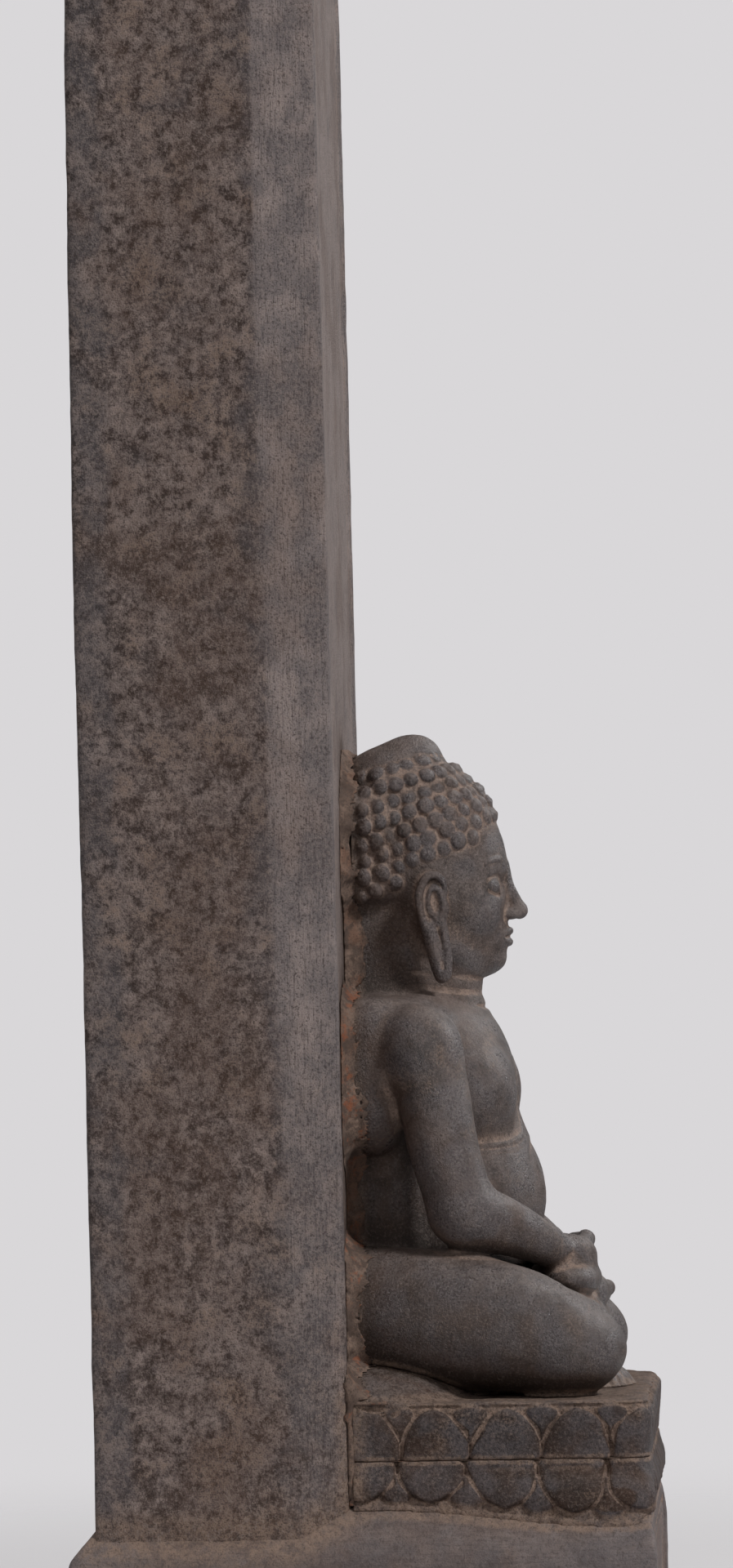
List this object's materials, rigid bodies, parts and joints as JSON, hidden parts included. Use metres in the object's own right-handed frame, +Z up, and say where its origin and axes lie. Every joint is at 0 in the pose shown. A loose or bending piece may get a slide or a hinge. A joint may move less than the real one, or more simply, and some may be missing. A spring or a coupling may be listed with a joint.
{
  "type": "buddha statue",
  "caption": "Stone seated Buddha on a double-lotus throne before a tall pointed stele, all standing on a bevelled plinth.",
  "frame": {"origin": "middle of the plinth's footprint, on the ground", "axes": "+Z up, the figure looks along -Y, its right hand is on the -X side"},
  "size_m": [0.384, 0.35, 1.205],
  "materials": {
    "plinth_stone": "fine-dressed sandstone, satin on worn edges",
    "stele_stone": "dressed sandstone, mottled brown and grey, fine vertical tool lines on the bevels",
    "throne_stone": "carved sandstone with pale dust in the grooves",
    "figure_stone": "rubbed sandstone with a soft sheen on the high places",
    "mortar": "coarse pitted lime and brick mortar, matt",
    "dowel_steel": "plain drawn bar"
  },
  "bodies": {
    "root": {"plinth": "plinth_stone", "stele": "stele_stone", "throne_lower_tier": "throne_stone", "throne_upper_tier": "throne_stone", "buddha_figure": "figure_stone", "stele_mortar_bed": "mortar", "throne_mortar_bed": "mortar", "waist_mortar_bed": "mortar", "seat_mortar_bed": "mortar", "back_joint_mortar": "mortar", "throne_dowel_1": "dowel_steel", "throne_dowel_2": "dowel_steel", "tier_dowel_1": "dowel_steel", "tier_dowel_2": "dowel_steel", "seat_dowel_1": "dowel_steel", "seat_dowel_2": "dowel_steel", "back_dowel_1": "dowel_steel", "back_dowel_2": "dowel_steel"}
  },
  "joints": []
}
